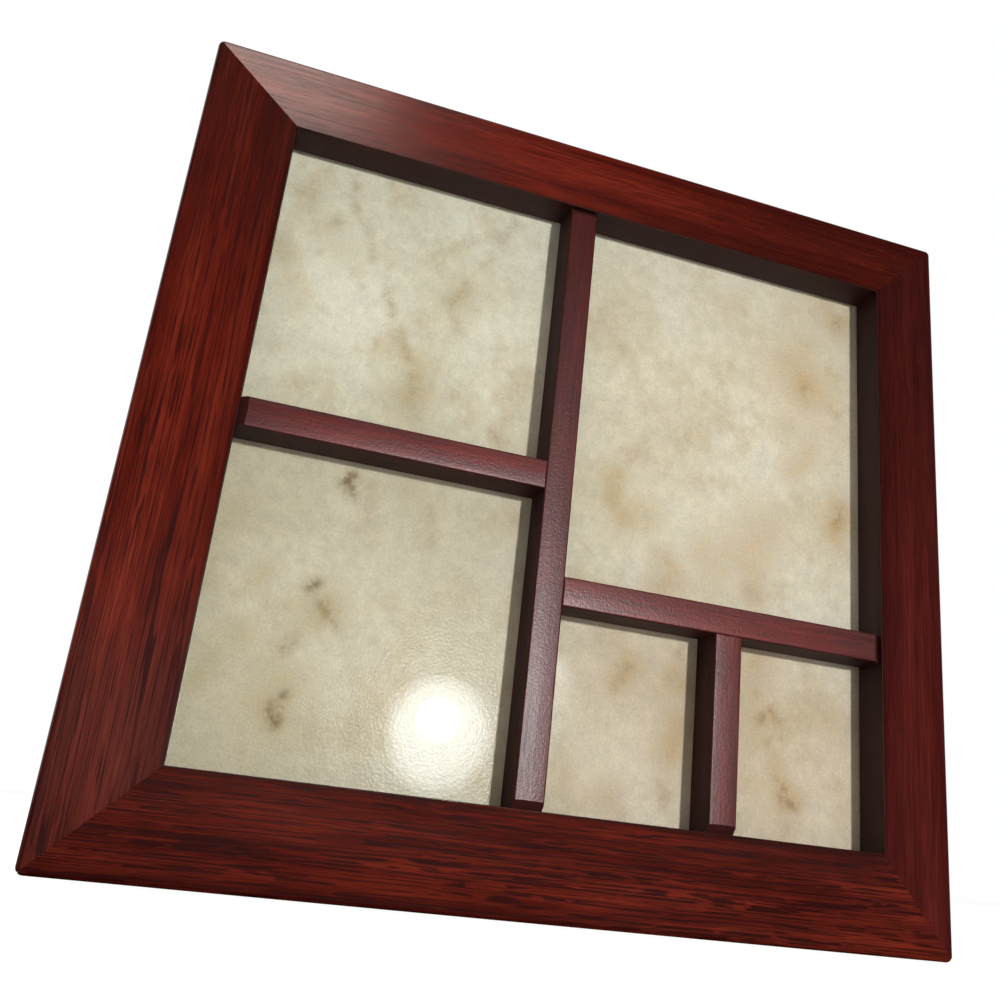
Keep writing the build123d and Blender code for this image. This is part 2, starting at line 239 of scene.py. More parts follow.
# noise level from and to, and the tone at each
grainTones = {
    "bands": (0.36, 0.64),
    "fibre": (0.3, 0.7, 0.7, 1.24),
    "cluster": (0.3, 0.7, 1.12, 0.86),
    "crowding": (0.36, 0.6, 0.7, 1.0),
}
# dark lines: their scale along the bar, and what they take of the look's own lines, gaps and pore
poreShapes = {
    "streak": {"along": 7, "acrossShare": 1.0, "brokenShare": 0.8, "gapShare": 1.0, "widthShare": 1.0,
               "breaks": (0.42, 0.5)},
    "fine": {"along": 14, "acrossShare": 2.1, "brokenShare": 1.6, "gapShare": 1.7, "widthShare": 1.5,
             "breaks": (0.4, 0.5)},
}
lacquer = {
    "specular": 0.4,
    "sheenReach": 0.03,  # how far its sheen makes the wood smoother or rougher
    "poreRoughness": 0.08,
    "paintedShadeRoughness": 0.35,
    "fibreRelief": 0.5,
    "reliefDepth": 0.1 * mm,
}
# the pores' own colour, and painted shade: its colour and share on the window walls, lips and bar ends, and
# how far it darkens the faces beside the windows, on the lips, at the outer edges, at the foot and at the
# bars' ends
stain = {
    "pore": srgb(48, 2, 0),
    "poreShare": 0.92,
    "wall": srgb(53, 5, 2),
    "paintedShadeShare": 0.8,
    "endReach": 30 * mm,
    "footReach": 80 * mm,
    "byWindow": (0.0, 12 * mm, 0.7, 1.04),  # from, to, and the tone at each, counted from the window's edge
    "onLip": (0.2 * mm, 1.6 * mm, 0.62, 1.0),
    "byOuterEdge": (19 * mm, 25 * mm, 1.0, 0.76),
}


# the grain's own coordinates: along the bar, and wandering a little to the side
def grainPlace(tree, look, place):
    turned = put(tree, "Mapping", {"Vector": place, "Rotation": look["turn"], "Location": look["shift"]})
    wander = noiseAt(tree, turned.outputs[0], grainScales["wander"], 1.0)
    wander = calc(tree, "MULTIPLY", calc(tree, "SUBTRACT", wander, 0.5), wanderReach)
    sideways = put(tree, "CombineXYZ", {"Y": wander, "Z": wander}).outputs[0]
    return put(tree, "VectorMath", {0: turned.outputs[0], 1: sideways}, operation="ADD").outputs[0]


# painted shade: the wood is darker towards the windows, on the lip, at the outer edge and at the foot
def paintedRimShade(tree, place, axis, foot):
    low, high = ("sightLeft", "sightRight") if axis == "X" else ("sightBottom", "sightTop")
    middle = (places[low] + places[high]) / 2
    away = calc(tree, "ABSOLUTE", calc(tree, "SUBTRACT", axisOf(tree, place, axis), middle))
    away = calc(tree, "SUBTRACT", away, places[high] - middle)
    footEnd = places["outerBottom"] + stain["footReach"]
    atFoot = ramp(tree, axisOf(tree, place, "Z"), places["outerBottom"], footEnd, foot, 1.0)
    edges = [ramp(tree, away, *stain[part]) for part in ("byWindow", "onLip", "byOuterEdge")]
    return product(tree, atFoot, *edges)


# the wood's tone: the grain's fibres and clusters, times painted shade falling off along the bar, at the
# bars' ends and at the rails' rims
def toneDepth(tree, look, place, fibre, cluster):
    axis, low, high, atLow, atHigh = look["fade"]
    fromMiddle = calc(tree, "ABSOLUTE", axisOf(tree, place, "X"))
    endStart = places["sightRight"] - stain["endReach"]
    levels = [
        ramp(tree, fibre, *grainTones["fibre"], smooth=False),
        ramp(tree, axisOf(tree, place, axis), low, high, atLow, atHigh),
        ramp(tree, cluster, *grainTones["cluster"], smooth=False),
        ramp(tree, fromMiddle, endStart, places["sightRight"], 1.0, look["ends"]),
    ]
    if look["pools"]:
        levels.append(paintedRimShade(tree, place, look["pools"], look["foot"]))
    return product(tree, *levels)


# one set of dark lines, broken into lengths
def brokenLines(tree, look, grain, kind):
    shape = poreShapes[kind]
    across = shape["acrossShare"] * look["lines"]
    broken = shape["brokenShare"] * look["lines"]
    lines = noiseAt(tree, grain, (shape["along"], across, across), 0.0)
    breaks = noiseAt(tree, grain, (shape["gapShare"] * look["gaps"], broken, broken), 1.0)
    drawn = lineAt(tree, lines, shape["widthShare"] * look["pore"], look[kind])
    return calc(tree, "MULTIPLY", drawn, ramp(tree, breaks, *shape["breaks"]))


# dark pores: long lines, crowded in places, and finer short ones between them
def poreLines(tree, look, grain, cluster):
    crowding = ramp(tree, cluster, *grainTones["crowding"])
    streaks = calc(tree, "MULTIPLY", brokenLines(tree, look, grain, "streak"), crowding)
    return calc(tree, "MAXIMUM", streaks, brokenLines(tree, look, grain, "fine"))


def stainedWood(name):
    look = {**plainWood, **woodLooks[name]}
    material, tree, shader = startMaterial("stainedWood_" + name)
    place = objectPlace(tree)
    grain = grainPlace(tree, look, place)
    bands = noiseAt(tree, grain, grainScales["bands"], 3.0, 0.55)
    cluster = noiseAt(tree, grain, grainScales["cluster"])
    fibre = noiseAt(tree, grain, grainScales["fibre"], 1.0)
    wood = mixColours(tree, ramp(tree, bands, *grainTones["bands"]), look["dark"], look["light"])
    wood = tinted(tree, wood, toneDepth(tree, look, place, fibre, cluster))
    pores = poreLines(tree, look, grain, cluster)
    wood = mixColours(tree, pores, wood, mixColours(tree, stain["poreShare"], wood, stain["pore"]))
    # painted shade on the window walls, the lips, the bars' ends and edges, and the mitres and rounded
    # outer corners
    wall = attributeOf(tree, "wall")
    wood = mixColours(tree, calc(tree, "MULTIPLY", wall, stain["paintedShadeShare"]), wood, stain["wall"])
    feed(tree, shader.inputs["Base Color"], wood)
    sheen = noiseAt(tree, grain, grainScales["sheen"])
    smoothest = look["roughness"] - lacquer["sheenReach"]
    roughest = look["roughness"] + lacquer["sheenReach"]
    rough = ramp(tree, sheen, 0.3, 0.7, smoothest, roughest)
    rough = calc(tree, "ADD", rough, calc(tree, "MULTIPLY", pores, lacquer["poreRoughness"]))
    # the faces with painted shade are also rougher
    rough = calc(tree, "ADD", rough, calc(tree, "MULTIPLY", wall, lacquer["paintedShadeRoughness"]))
    feed(tree, shader.inputs["Roughness"], rough)
    relief = calc(tree, "SUBTRACT", calc(tree, "MULTIPLY", fibre, lacquer["fibreRelief"]), pores)
    ripple = noiseAt(tree, place, grainScales["ripple"], 1.0)
    height = calc(tree, "ADD", calc(tree, "MULTIPLY", relief, look["grained"]),
                  calc(tree, "MULTIPLY", ripple, look["peel"]))
    bumped(tree, shader, height, look["bump"], lacquer["reliefDepth"])
    shader.inputs["Specular IOR Level"].default_value = lacquer["specular"]
    return material


woods = {name: stainedWood(name) for name in woodLooks}

# Parchment: cream ground with clouds, and marks that the sheet's own attributes place
parchmentTones = {
    "coolGround": (srgb(222, 213, 191), srgb(235, 228, 210)),  # in the clouds, between them
    "warmGround": (srgb(225, 210, 186), srgb(235, 224, 206)),
    # painted shade over the lower left window
    "lowLeft": srgb(200, 184, 154),
    "lowRight": srgb(226, 201, 176),
    "tanCloud": srgb(204, 181, 144),
    "warmMark": (srgb(190, 168, 124), srgb(198, 164, 118)),  # on the left, on the right
    "paleStain": (srgb(172, 143, 100), srgb(188, 150, 106)),
    "deepStain": (srgb(130, 104, 66), srgb(150, 113, 72)),
}
# noise scales per metre
parchmentScales = {
    "clouds": 26,
    "tanClouds": (62, 62, 48),
    "mottle": 330,
    "patches": 520,
    "relief": 1500,
    "grit": 1700,
}
# place or noise level from and to, and the share or tone at each
parchmentFades = {
    "warmSide": (-50 * mm, 50 * mm),
    "brownSide": (-20 * mm, 20 * mm),
    "lowLeftAcross": (-30 * mm, 20 * mm, 0.45, 0.0),
    "lowLeftUp": (-100 * mm, -85 * mm, 1.0, 0.0),
    "lowRightAcross": (-10 * mm, 10 * mm, 0.0, 0.4),
    "lowRightUp": (-130 * mm, -120 * mm, 1.0, 0.0),
    "clouds": (0.35, 0.65),
    "tanClouds": (0.48, 0.72, 0.0, 0.55),
    "warmMottle": (0.36, 0.64, 0.6, 1.3),
    "stainPatches": (0.34, 0.64, 0.6, 1.1),
    "toneDepth": (0.2, 0.8),
    "stainShare": (0.0, 1.0, 0.0, 0.82),
    "gritTone": (0.25, 0.75, 0.9, 1.1),
    "mottleTone": (0.3, 0.7, 0.91, 1.09),
    "roughness": (0.3, 0.7, 0.15, 0.2),
}
parchmentCoat = {"specular": 0.04, "reliefStrength": 0.5, "reliefDepth": 0.1 * mm}


def fadeOf(tree, level, name, smooth=True):
    return ramp(tree, level, *parchmentFades[name], smooth=smooth)


def parchmentGround(tree, place):
    sideways, upward = axisOf(tree, place, "X"), axisOf(tree, place, "Z")
    clouds = fadeOf(tree, noiseAt(tree, place, parchmentScales["clouds"], 3.0), "clouds")
    coolSide = mixColours(tree, clouds, *parchmentTones["coolGround"])
    warmSide = mixColours(tree, clouds, *parchmentTones["warmGround"])
    paper = mixColours(tree, fadeOf(tree, sideways, "warmSide"), coolSide, warmSide)
    # painted shade at the lower left, and a warmer tone at the lower right
    for corner in ("lowLeft", "lowRight"):
        share = product(tree, fadeOf(tree, sideways, corner + "Across"),
                        fadeOf(tree, upward, corner + "Up"))
        paper = mixColours(tree, share, paper, parchmentTones[corner])
    tanClouds = noiseAt(tree, place, parchmentScales["tanClouds"], 4.0, 0.6)
    return mixColours(tree, fadeOf(tree, tanClouds, "tanClouds"), paper, parchmentTones["tanCloud"])


# a warm wash first, then the darker stains, both browner on the right
def markedParchment(tree, place, paper, mottle):
    sideways = axisOf(tree, place, "X")
    warmShare = product(tree, attributeOf(tree, "warmth"), fadeOf(tree, mottle, "warmMottle"))
    warmTone = mixColours(tree, fadeOf(tree, sideways, "warmSide"), *parchmentTones["warmMark"])
    paper = mixColours(tree, warmShare, paper, warmTone)
    patches = fadeOf(tree, noiseAt(tree, place, parchmentScales["patches"]), "stainPatches")
    stainShare = calc(tree, "MULTIPLY", attributeOf(tree, "stain"), patches, clamp=True)
    onRight = fadeOf(tree, sideways, "brownSide")
    stainTone = mixColours(tree, fadeOf(tree, stainShare, "toneDepth"),
                           mixColours(tree, onRight, *parchmentTones["paleStain"]),
                           mixColours(tree, onRight, *parchmentTones["deepStain"]))
    return mixColours(tree, fadeOf(tree, stainShare, "stainShare", smooth=False), paper, stainTone)


def parchmentPaper():
    material, tree, shader = startMaterial("parchmentPaper")
    place = objectPlace(tree)
    mottle = noiseAt(tree, place, parchmentScales["mottle"], 4.0, 0.65)
    grit = noiseAt(tree, place, parchmentScales["grit"], 2.0, 0.6)
    paper = markedParchment(tree, place, parchmentGround(tree, place), mottle)
    tone = product(tree, fadeOf(tree, grit, "gritTone", smooth=False),
                   fadeOf(tree, mottle, "mottleTone", smooth=False))
    feed(tree, shader.inputs["Base Color"], tinted(tree, paper, tone))
    feed(tree, shader.inputs["Roughness"], fadeOf(tree, mottle, "roughness"))
    shader.inputs["Specular IOR Level"].default_value = parchmentCoat["specular"]
    relief = noiseAt(tree, place, parchmentScales["relief"], 1.0)
    bumped(tree, shader, relief, parchmentCoat["reliefStrength"], parchmentCoat["reliefDepth"])
    return material


# Clear glass that lets the lamps through
glassLook = {
    "tint": (0.985, 1.0, 0.985, 1.0),
    "lampTint": (0.97, 0.985, 0.97, 1.0),
    "refraction": 1.5,
    "hazeScale": 60,
    "roughness": (0.3, 0.7, 0.008, 0.016),  # haze level from and to, and the roughness at each
}


def clearGlass():
    material, tree, shader = startMaterial("clearGlass")
    shader.inputs["Base Color"].default_value = glassLook["tint"]
    shader.inputs["Transmission Weight"].default_value = 1.0
    shader.inputs["IOR"].default_value = glassLook["refraction"]
    haze = noiseAt(tree, objectPlace(tree), glassLook["hazeScale"], 3.0)
    feed(tree, shader.inputs["Roughness"], ramp(tree, haze, *glassLook["roughness"]))
    path = put(tree, "LightPath")
    through = put(tree, "BsdfTransparent", {"Color": glassLook["lampTint"]})
    lampRay = calc(tree, "MAXIMUM", path.outputs["Is Shadow Ray"], path.outputs["Is Diffuse Ray"])
    mixOver(tree, lampRay, shader.outputs[0], through.outputs[0])
    return material


# Metals: tone, roughness, brushing scales, and what is left of the tone in the dull patches
metalLooks = {
    "zincSteel": (srgb(196, 198, 200), 0.36, (900, 90, 90), 0.8),
    "plainSteel": (srgb(168, 168, 170), 0.42, (90, 90, 900), 0.8),
    "brassedSteel": (srgb(212, 178, 108), 0.3, (260, 220, 220), 0.93),
}
metalWear = {
    "patchScale": 240,
    "patches": (0.45, 0.75),
    "patchRoughness": (0.5, 0.8, 0.0, 0.12),
    "brushReach": 0.04,  # how far the brushing makes it smoother or rougher
    "brushStrength": 0.25,
    "brushDepth": 0.03 * mm,
}


def wornMetal(name):
    tone, roughness, streak, dulled = metalLooks[name]
    material, tree, shader = startMaterial(name)
    place = objectPlace(tree)
    brushed = noiseAt(tree, place, streak, 3.0, 0.6)
    patches = noiseAt(tree, place, metalWear["patchScale"], 3.0, 0.6)
    darker = tuple(dulled * level for level in tone[:3]) + (1.0,)
    feed(tree, shader.inputs["Base Color"],
         mixColours(tree, ramp(tree, patches, *metalWear["patches"]), tone, darker))
    shader.inputs["Metallic"].default_value = 1.0
    smoothest, roughest = roughness - metalWear["brushReach"], roughness + metalWear["brushReach"]
    feed(tree, shader.inputs["Roughness"],
         calc(tree, "ADD", ramp(tree, brushed, 0.3, 0.7, smoothest, roughest),
              ramp(tree, patches, *metalWear["patchRoughness"])))
    bumped(tree, shader, brushed, metalWear["brushStrength"], metalWear["brushDepth"])
    return material


# tones of the covered boards: the ground and the worn nap
boardTones = {
    "blackBoard": (srgb(24, 23, 24), srgb(52, 50, 50)),
    "greyCard": (srgb(140, 136, 128), srgb(168, 164, 156)),
}
boardCover = {
    "napScale": 2600,
    "napShare": (0.35, 0.75, 0.0, 0.6),
    "napStrength": 0.45,
    "napDepth": 0.08 * mm,
    "cloudScale": 35,
    "cloudShare": (0.5, 0.8, 0.0, 0.4),
    "roughness": (0.3, 0.7, 0.72, 0.86),
    "sheen": 0.25,
    "sheenRoughness": 0.45,
}


def coveredBoard(name):
    tone, lighter = boardTones[name]
    material, tree, shader = startMaterial(name)
    place = objectPlace(tree)
    nap = noiseAt(tree, place, boardCover["napScale"], 3.0, 0.7)
    cloud = noiseAt(tree, place, boardCover["cloudScale"], 4.0, 0.6)
    base = mixColours(tree, ramp(tree, nap, *boardCover["napShare"]), tone, lighter)
    base = mixColours(tree, ramp(tree, cloud, *boardCover["cloudShare"]), base, lighter)
    feed(tree, shader.inputs["Base Color"], base)
    feed(tree, shader.inputs["Roughness"], ramp(tree, cloud, *boardCover["roughness"]))
    shader.inputs["Sheen Weight"].default_value = boardCover["sheen"]
    shader.inputs["Sheen Roughness"].default_value = boardCover["sheenRoughness"]
    bumped(tree, shader, nap, boardCover["napStrength"], boardCover["napDepth"])
    return material


rubberLook = {
    "tone": srgb(34, 33, 32),
    "dusty": srgb(74, 70, 66),
    "dustScale": 900,
    "dustShare": (0.5, 0.8, 0.0, 0.5),
    "dustStrength": 0.2,
    "dustDepth": 0.05 * mm,
    "roughness": (0.3, 0.7, 0.5, 0.68),
}


def softRubber():
    material, tree, shader = startMaterial("softRubber")
    dust = noiseAt(tree, objectPlace(tree), rubberLook["dustScale"], 3.0, 0.6)
    dusted = ramp(tree, dust, *rubberLook["dustShare"])
    feed(tree, shader.inputs["Base Color"],
         mixColours(tree, dusted, rubberLook["tone"], rubberLook["dusty"]))
    feed(tree, shader.inputs["Roughness"], ramp(tree, dust, *rubberLook["roughness"]))
    bumped(tree, shader, dust, rubberLook["dustStrength"], rubberLook["dustDepth"])
    return material


paperFinish = parchmentPaper()
glassFinish = clearGlass()
metals = {name: wornMetal(name) for name in metalLooks}
boards = {name: coveredBoard(name) for name in boardTones}
rubberFinish = softRubber()
print("materials made")


# Mesh helpers
def pieceName(node, ending):
    first, *others = node.split("_")
    return first + "".join(part.capitalize() for part in others) + ending


def newPiece(name, bm, material, body="root", stands=(), angle=32):
    bmesh.ops.recalc_face_normals(bm, faces=bm.faces)
    mesh = bpy.data.meshes.new(name)
    bm.to_mesh(mesh)
    bm.free()
    mesh.polygons.foreach_set("use_smooth", [True] * len(mesh.polygons))
    mesh.set_sharp_from_angle(angle=math.radians(angle))
    mesh.materials.append(material)
    piece = bpy.data.objects.new(name, mesh)
    bpy.context.scene.collection.objects.link(piece)
    evened = piece.modifiers.new("evenNormals", "WEIGHTED_NORMAL")
    evened.keep_sharp = True
    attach(piece, body)
    if stands:
        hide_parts(*stands)
    return piece


# how much painted shade each face takes, for the walls of the windows, the lips and the bars' ends
def shadeWalls(piece, darkness):
    mesh = piece.data
    layer = mesh.attributes.new("wall", "FLOAT", "FACE")
    layer.data.foreach_set("value", [darkness(face.normal, face.center) for face in mesh.polygons])


def edgesWhere(bm, test):
    return [edge for edge in bm.edges if all(test(vert.co) for vert in edge.verts)]


def facesWhere(bm, test):
    return [face for face in bm.faces if test(face)]


def newFace(made):
    return next(item for item in made["geom"] if isinstance(item, bmesh.types.BMFace))


def near(a, b, tolerance=2e-6):
    return abs(a - b) < tolerance


def bevelEdges(bm, edges, offset, segments):
    return bmesh.ops.bevel(bm, geom=edges, offset=offset, offset_type="OFFSET", affect="EDGES",
                           segments=segments, profile=0.5, material=-1, clamp_overlap=False)


def cutAway(bm, point, normal):
    geometry = bm.verts[:] + bm.edges[:] + bm.faces[:]
    cut = bmesh.ops.bisect_plane(bm, geom=geometry, dist=1e-6, plane_co=point, plane_no=normal,
                                 clear_outer=True, clear_inner=False)
    rim = [item for item in cut["geom_cut"] if isinstance(item, bmesh.types.BMEdge)]
    bmesh.ops.edgeloop_fill(bm, edges=[edge for edge in rim if edge.is_boundary])


# The four rails: one moulded ring, cut at the mitres
railShape = {
    "faceDrop": 5.6 * mm,  # how far the face slopes back from the lip to the outer edge
    "rabbet": 6.0 * mm,
    "lipRound": 0.22 * mm,
    "outerRound": 1.2 * mm,
    "cornerRound": 1.8 * mm,
    "backChamfer": 0.6 * mm,
    "mitreEase": 0.2 * mm,
    "mitreGap": 0.004 * mm,
}
faceEdge = places["lip"] + railShape["faceDrop"]


# a block with its front raised to the lip, a window sunk in it and a rabbet behind
def ringBlock():
    bm = bmesh.new()
    bmesh.ops.create_cube(bm, size=1.0)
    low = (places["outerLeft"], faceEdge, places["outerBottom"])
    high = (places["outerRight"], places["railBack"], places["outerTop"])
    bmesh.ops.scale(bm, vec=[b - a for a, b in zip(low, high)], verts=bm.verts)
    bmesh.ops.translate(bm, vec=[(a + b) / 2 for a, b in zip(low, high)], verts=bm.verts)
    front = facesWhere(bm, lambda face: face.normal.y < -0.9)[0]
    bmesh.ops.inset_region(bm, faces=[front], thickness=railWidth, use_even_offset=True)
    bmesh.ops.translate(bm, vec=(0, -railShape["faceDrop"], 0), verts=front.verts)
    ledge = newFace(bmesh.ops.extrude_face_region(bm, geom=[front]))
    bmesh.ops.delete(bm, geom=[front], context="FACES_ONLY")
    bmesh.ops.translate(bm, vec=(0, places["glassFront"] - places["lip"], 0), verts=ledge.verts)
    wide = newFace(bmesh.ops.extrude_face_region(bm, geom=[ledge]))
    bmesh.ops.delete(bm, geom=[ledge], context="FACES_ONLY")
    grow = (1 + 2 * railShape["rabbet"] / (places["sightRight"] - places["sightLeft"]), 1,
            1 + 2 * railShape["rabbet"] / (places["sightTop"] - places["sightBottom"]))
    bmesh.ops.scale(bm, vec=grow, space=Matrix.Translation(-wide.calc_center_median()), verts=wide.verts)
    hole = newFace(bmesh.ops.extrude_face_region(bm, geom=[wide]))
    bmesh.ops.delete(bm, geom=[wide], context="FACES_ONLY")
    bmesh.ops.translate(bm, vec=(0, places["railBack"] - places["glassFront"], 0), verts=hole.verts)
    backs = facesWhere(bm, lambda face: face.normal.y > 0.9 and face is not hole)
    outerBack = max(backs, key=lambda face: face.calc_area())
    rimWidth = railWidth - railShape["rabbet"]
    bmesh.ops.inset_region(bm, faces=[outerBack], thickness=rimWidth, use_even_offset=True)
    bmesh.ops.delete(bm, geom=[hole, outerBack], context="FACES_ONLY")
    bmesh.ops.remove_doubles(bm, verts=bm.verts, dist=1e-6)
    bmesh.ops.recalc_face_normals(bm, faces=bm.faces)
    return bm


def pastRabbet(co):
    reach = max(abs(co.x) - places["sightRight"], co.z - places["sightTop"], places["sightBottom"] - co.z)
    return reach > railShape["rabbet"] + 2 * mm


def mouldedRing():
    bm = ringBlock()
    atCorner = edgesWhere(bm, lambda co: near(abs(co.x), places["outerRight"])
                          and (near(co.z, places["outerTop"]) or near(co.z, places["outerBottom"])))
    corners = [edge for edge in atCorner if abs(edge.verts[0].co.y - edge.verts[1].co.y) > 1 * mm]
    bevelEdges(bm, corners, railShape["cornerRound"], 8)
    bevelEdges(bm, edgesWhere(bm, lambda co: near(co.y, faceEdge)), railShape["outerRound"], 6)
    atBack = edgesWhere(bm, lambda co: near(co.y, places["railBack"]) and pastRabbet(co))
    backRim = [edge for edge in atBack if any(abs(face.normal.y) < 0.5 for face in edge.link_faces)]
    bevelEdges(bm, backRim, railShape["backChamfer"], 1)
    bevelEdges(bm, edgesWhere(bm, lambda co: near(co.y, places["lip"])), railShape["lipRound"], 5)
    return bm


# painted shade: full on the window walls, most on the lip's round, and outside the windows on the mitres
# and the rounded outer corners, where it also draws the mitres' dark joint line
def railDarkness(normal, centre):
    reach = railShape["lipRound"] * 2
    inWindow = (places["sightLeft"] - reach < centre.x < places["sightRight"] + reach
                and places["sightBottom"] - reach < centre.z < places["sightTop"] + reach)
    if inWindow:
        return 1.0 if abs(normal.y) < 0.5 else 0.8 if abs(normal.y) < 0.95 else 0.0
    return 0.8 if min(abs(normal.x), abs(normal.z)) > 0.3 and normal.y > -0.93 else 0.0


# for each rail, its finish and its two mitres: the corner, and the way in which the cut takes the ring away
railCuts = {
    "top_rail": ("topRail", ("sightLeft", "sightTop", (-1, 0, -1)), ("sightRight", "sightTop", (1, 0, -1))),
    "right_rail": ("rightRail", ("sightRight", "sightTop", (-1, 0, 1)),
                   ("sightRight", "sightBottom", (-1, 0, -1))),
    "bottom_rail": ("bottomRail", ("sightLeft", "sightBottom", (-1, 0, 1)),
                    ("sightRight", "sightBottom", (1, 0, 1))),
    "left_rail": ("leftRail", ("sightLeft", "sightTop", (1, 0, 1)),
                  ("sightLeft", "sightBottom", (1, 0, -1))),
}


# ease the front arris of both mitre faces
def easeMitres(bm):
    mitreFaces = facesWhere(bm, lambda face: abs(abs(face.normal.x) - abs(face.normal.z)) < 0.02
                            and abs(face.normal.y) < 0.02 and face.calc_area() > 100 * mm * mm)
    frontEnd = faceEdge + railShape["outerRound"]
    eased = {edge for face in mitreFaces for edge in face.edges
             if all(vert.co.y < frontEnd for vert in edge.verts) and edge.calc_length() > 0.15 * mm}
    bevelEdges(bm, list(eased), railShape["mitreEase"], 1)


def cutRails():
    ring = mouldedRing()
    for node, (finish, *cuts) in railCuts.items():
        bm = ring.copy()
        for side, level, arrow in cuts:
            normal = Vector(arrow).normalized()
            corner = Vector((places[side], 0, places[level]))
            cutAway(bm, corner - normal * railShape["mitreGap"] / 2, normal)
        bmesh.ops.recalc_face_normals(bm, faces=bm.faces)
        easeMitres(bm)
        rail = newPiece(pieceName(node, "Wood"), bm, woods[finish], stands=(node,))
        shadeWalls(rail, railDarkness)
    ring.free()


cutRails()
print("rails made")

# Dividers: soft front edges, a slightly crowned face and sloped ends at the rails
dividerShape = {
    "edgeRound": 0.45 * mm,
    "crown": 0.1 * mm,
    "endRun": 2.2 * mm,
    "endDrop": 1.8 * mm,
    "buttEase": 0.18 * mm,
    "strips": 8,
}


def dividerBlock(length, depth, width):
    bm = bmesh.new()
    bmesh.ops.create_cube(bm, size=1.0)
    bmesh.ops.scale(bm, vec=(length, depth, width), verts=bm.verts)
    longFront = [edge for edge in edgesWhere(bm, lambda co: co.y < 0)
                 if near(edge.verts[0].co.z, edge.verts[1].co.z)]
    bevelEdges(bm, longFront, dividerShape["edgeRound"], 5)
    across = [edge for edge in edgesWhere(bm, lambda co: near(co.y, -depth / 2))
              if near(edge.verts[0].co.x, edge.verts[1].co.x)]
    bmesh.ops.subdivide_edges(bm, edges=across, cuts=dividerShape["strips"] - 1, use_grid_fill=True)
    for vert in bm.verts:
        if vert.co.y < -depth / 2 + 1 * mm:
            vert.co.y += dividerShape["crown"] * (vert.co.z / (width / 2)) ** 2
    return bm


def dividerBar(node, lying, railEnds, finish):
    low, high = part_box(node)
    size = high - low
    length, width = (size.x, size.z) if lying else (size.z, size.x)
    bm = dividerBlock(length, size.y, width)
    for end, atRail in zip((-1, 1), railEnds):
        run = dividerShape["endRun"] if atRail else dividerShape["buttEase"]
        drop = dividerShape["endDrop"] if atRail else dividerShape["buttEase"]
        slope = Vector((end * drop, -run, 0)).normalized()
        cutAway(bm, Vector((end * (length / 2 - run), -size.y / 2, 0)), slope)
    if not lying:
        bmesh.ops.rotate(bm, cent=(0, 0, 0), matrix=Matrix.Rotation(-upright[1], 3, "Y"), verts=bm.verts)
    bmesh.ops.translate(bm, vec=(low + high) / 2, verts=bm.verts)
    piece = newPiece(pieceName(node, "Wood"), bm, woods[finish], "root", (node,), angle=28)

    # painted shade: full on the sides and the sloped ends, a little less near the front of the sides, less
    # on the rounded long edges, and a faint strip along a lying bar's top
    def darkness(normal, centre):
        if abs(normal.y) < 0.5:
            return 1.0 if centre.y > low.y + 1 * mm else 0.85
        if abs(normal.x if lying else normal.z) > 0.3:
            return 1.0
        if abs(normal.y) < 0.93:
            return 0.7
        return 0.25 if lying and centre.z > high.z - 1.1 * mm else 0.0

    shadeWalls(piece, darkness)


dividerBar("vertical_divider", False, (True, True), "standingDivider")
dividerBar("left_cross_divider", True, (True, False), "lyingDivider")
dividerBar("right_cross_divider", True, (False, True), "lyingDivider")
dividerBar("small_divider", False, (True, False), "smallDivider")
print("dividers made")

# Glass with arrissed edges, and the printed display sheet behind it
paneShape = {"arris": 0.25 * mm, "airGap": 0.06 * mm}


def glassPane():
    low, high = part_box("glass_pane")
    high.y -= paneShape["airGap"]
    bm = bmesh.new()
    bmesh.ops.create_cube(bm, size=1.0)
    bmesh.ops.scale(bm, vec=high - low, verts=bm.verts)
    bmesh.ops.translate(bm, vec=(low + high) / 2, verts=bm.verts)
    bevelEdges(bm, bm.edges[:], paneShape["arris"], 1)
    newPiece("glassPane", bm, glassFinish, "root", ("glass_pane",))


sheetShape = {
    "gridStep": 1.0 * mm,
    "spread": {"stain": 1.95, "warmth": 1.9},
    "ripples": ((0.25, 1.1, 2.1), (0.6, 0.45, 0.4)),  # how the marks waver: mm, radians per mm, start
}
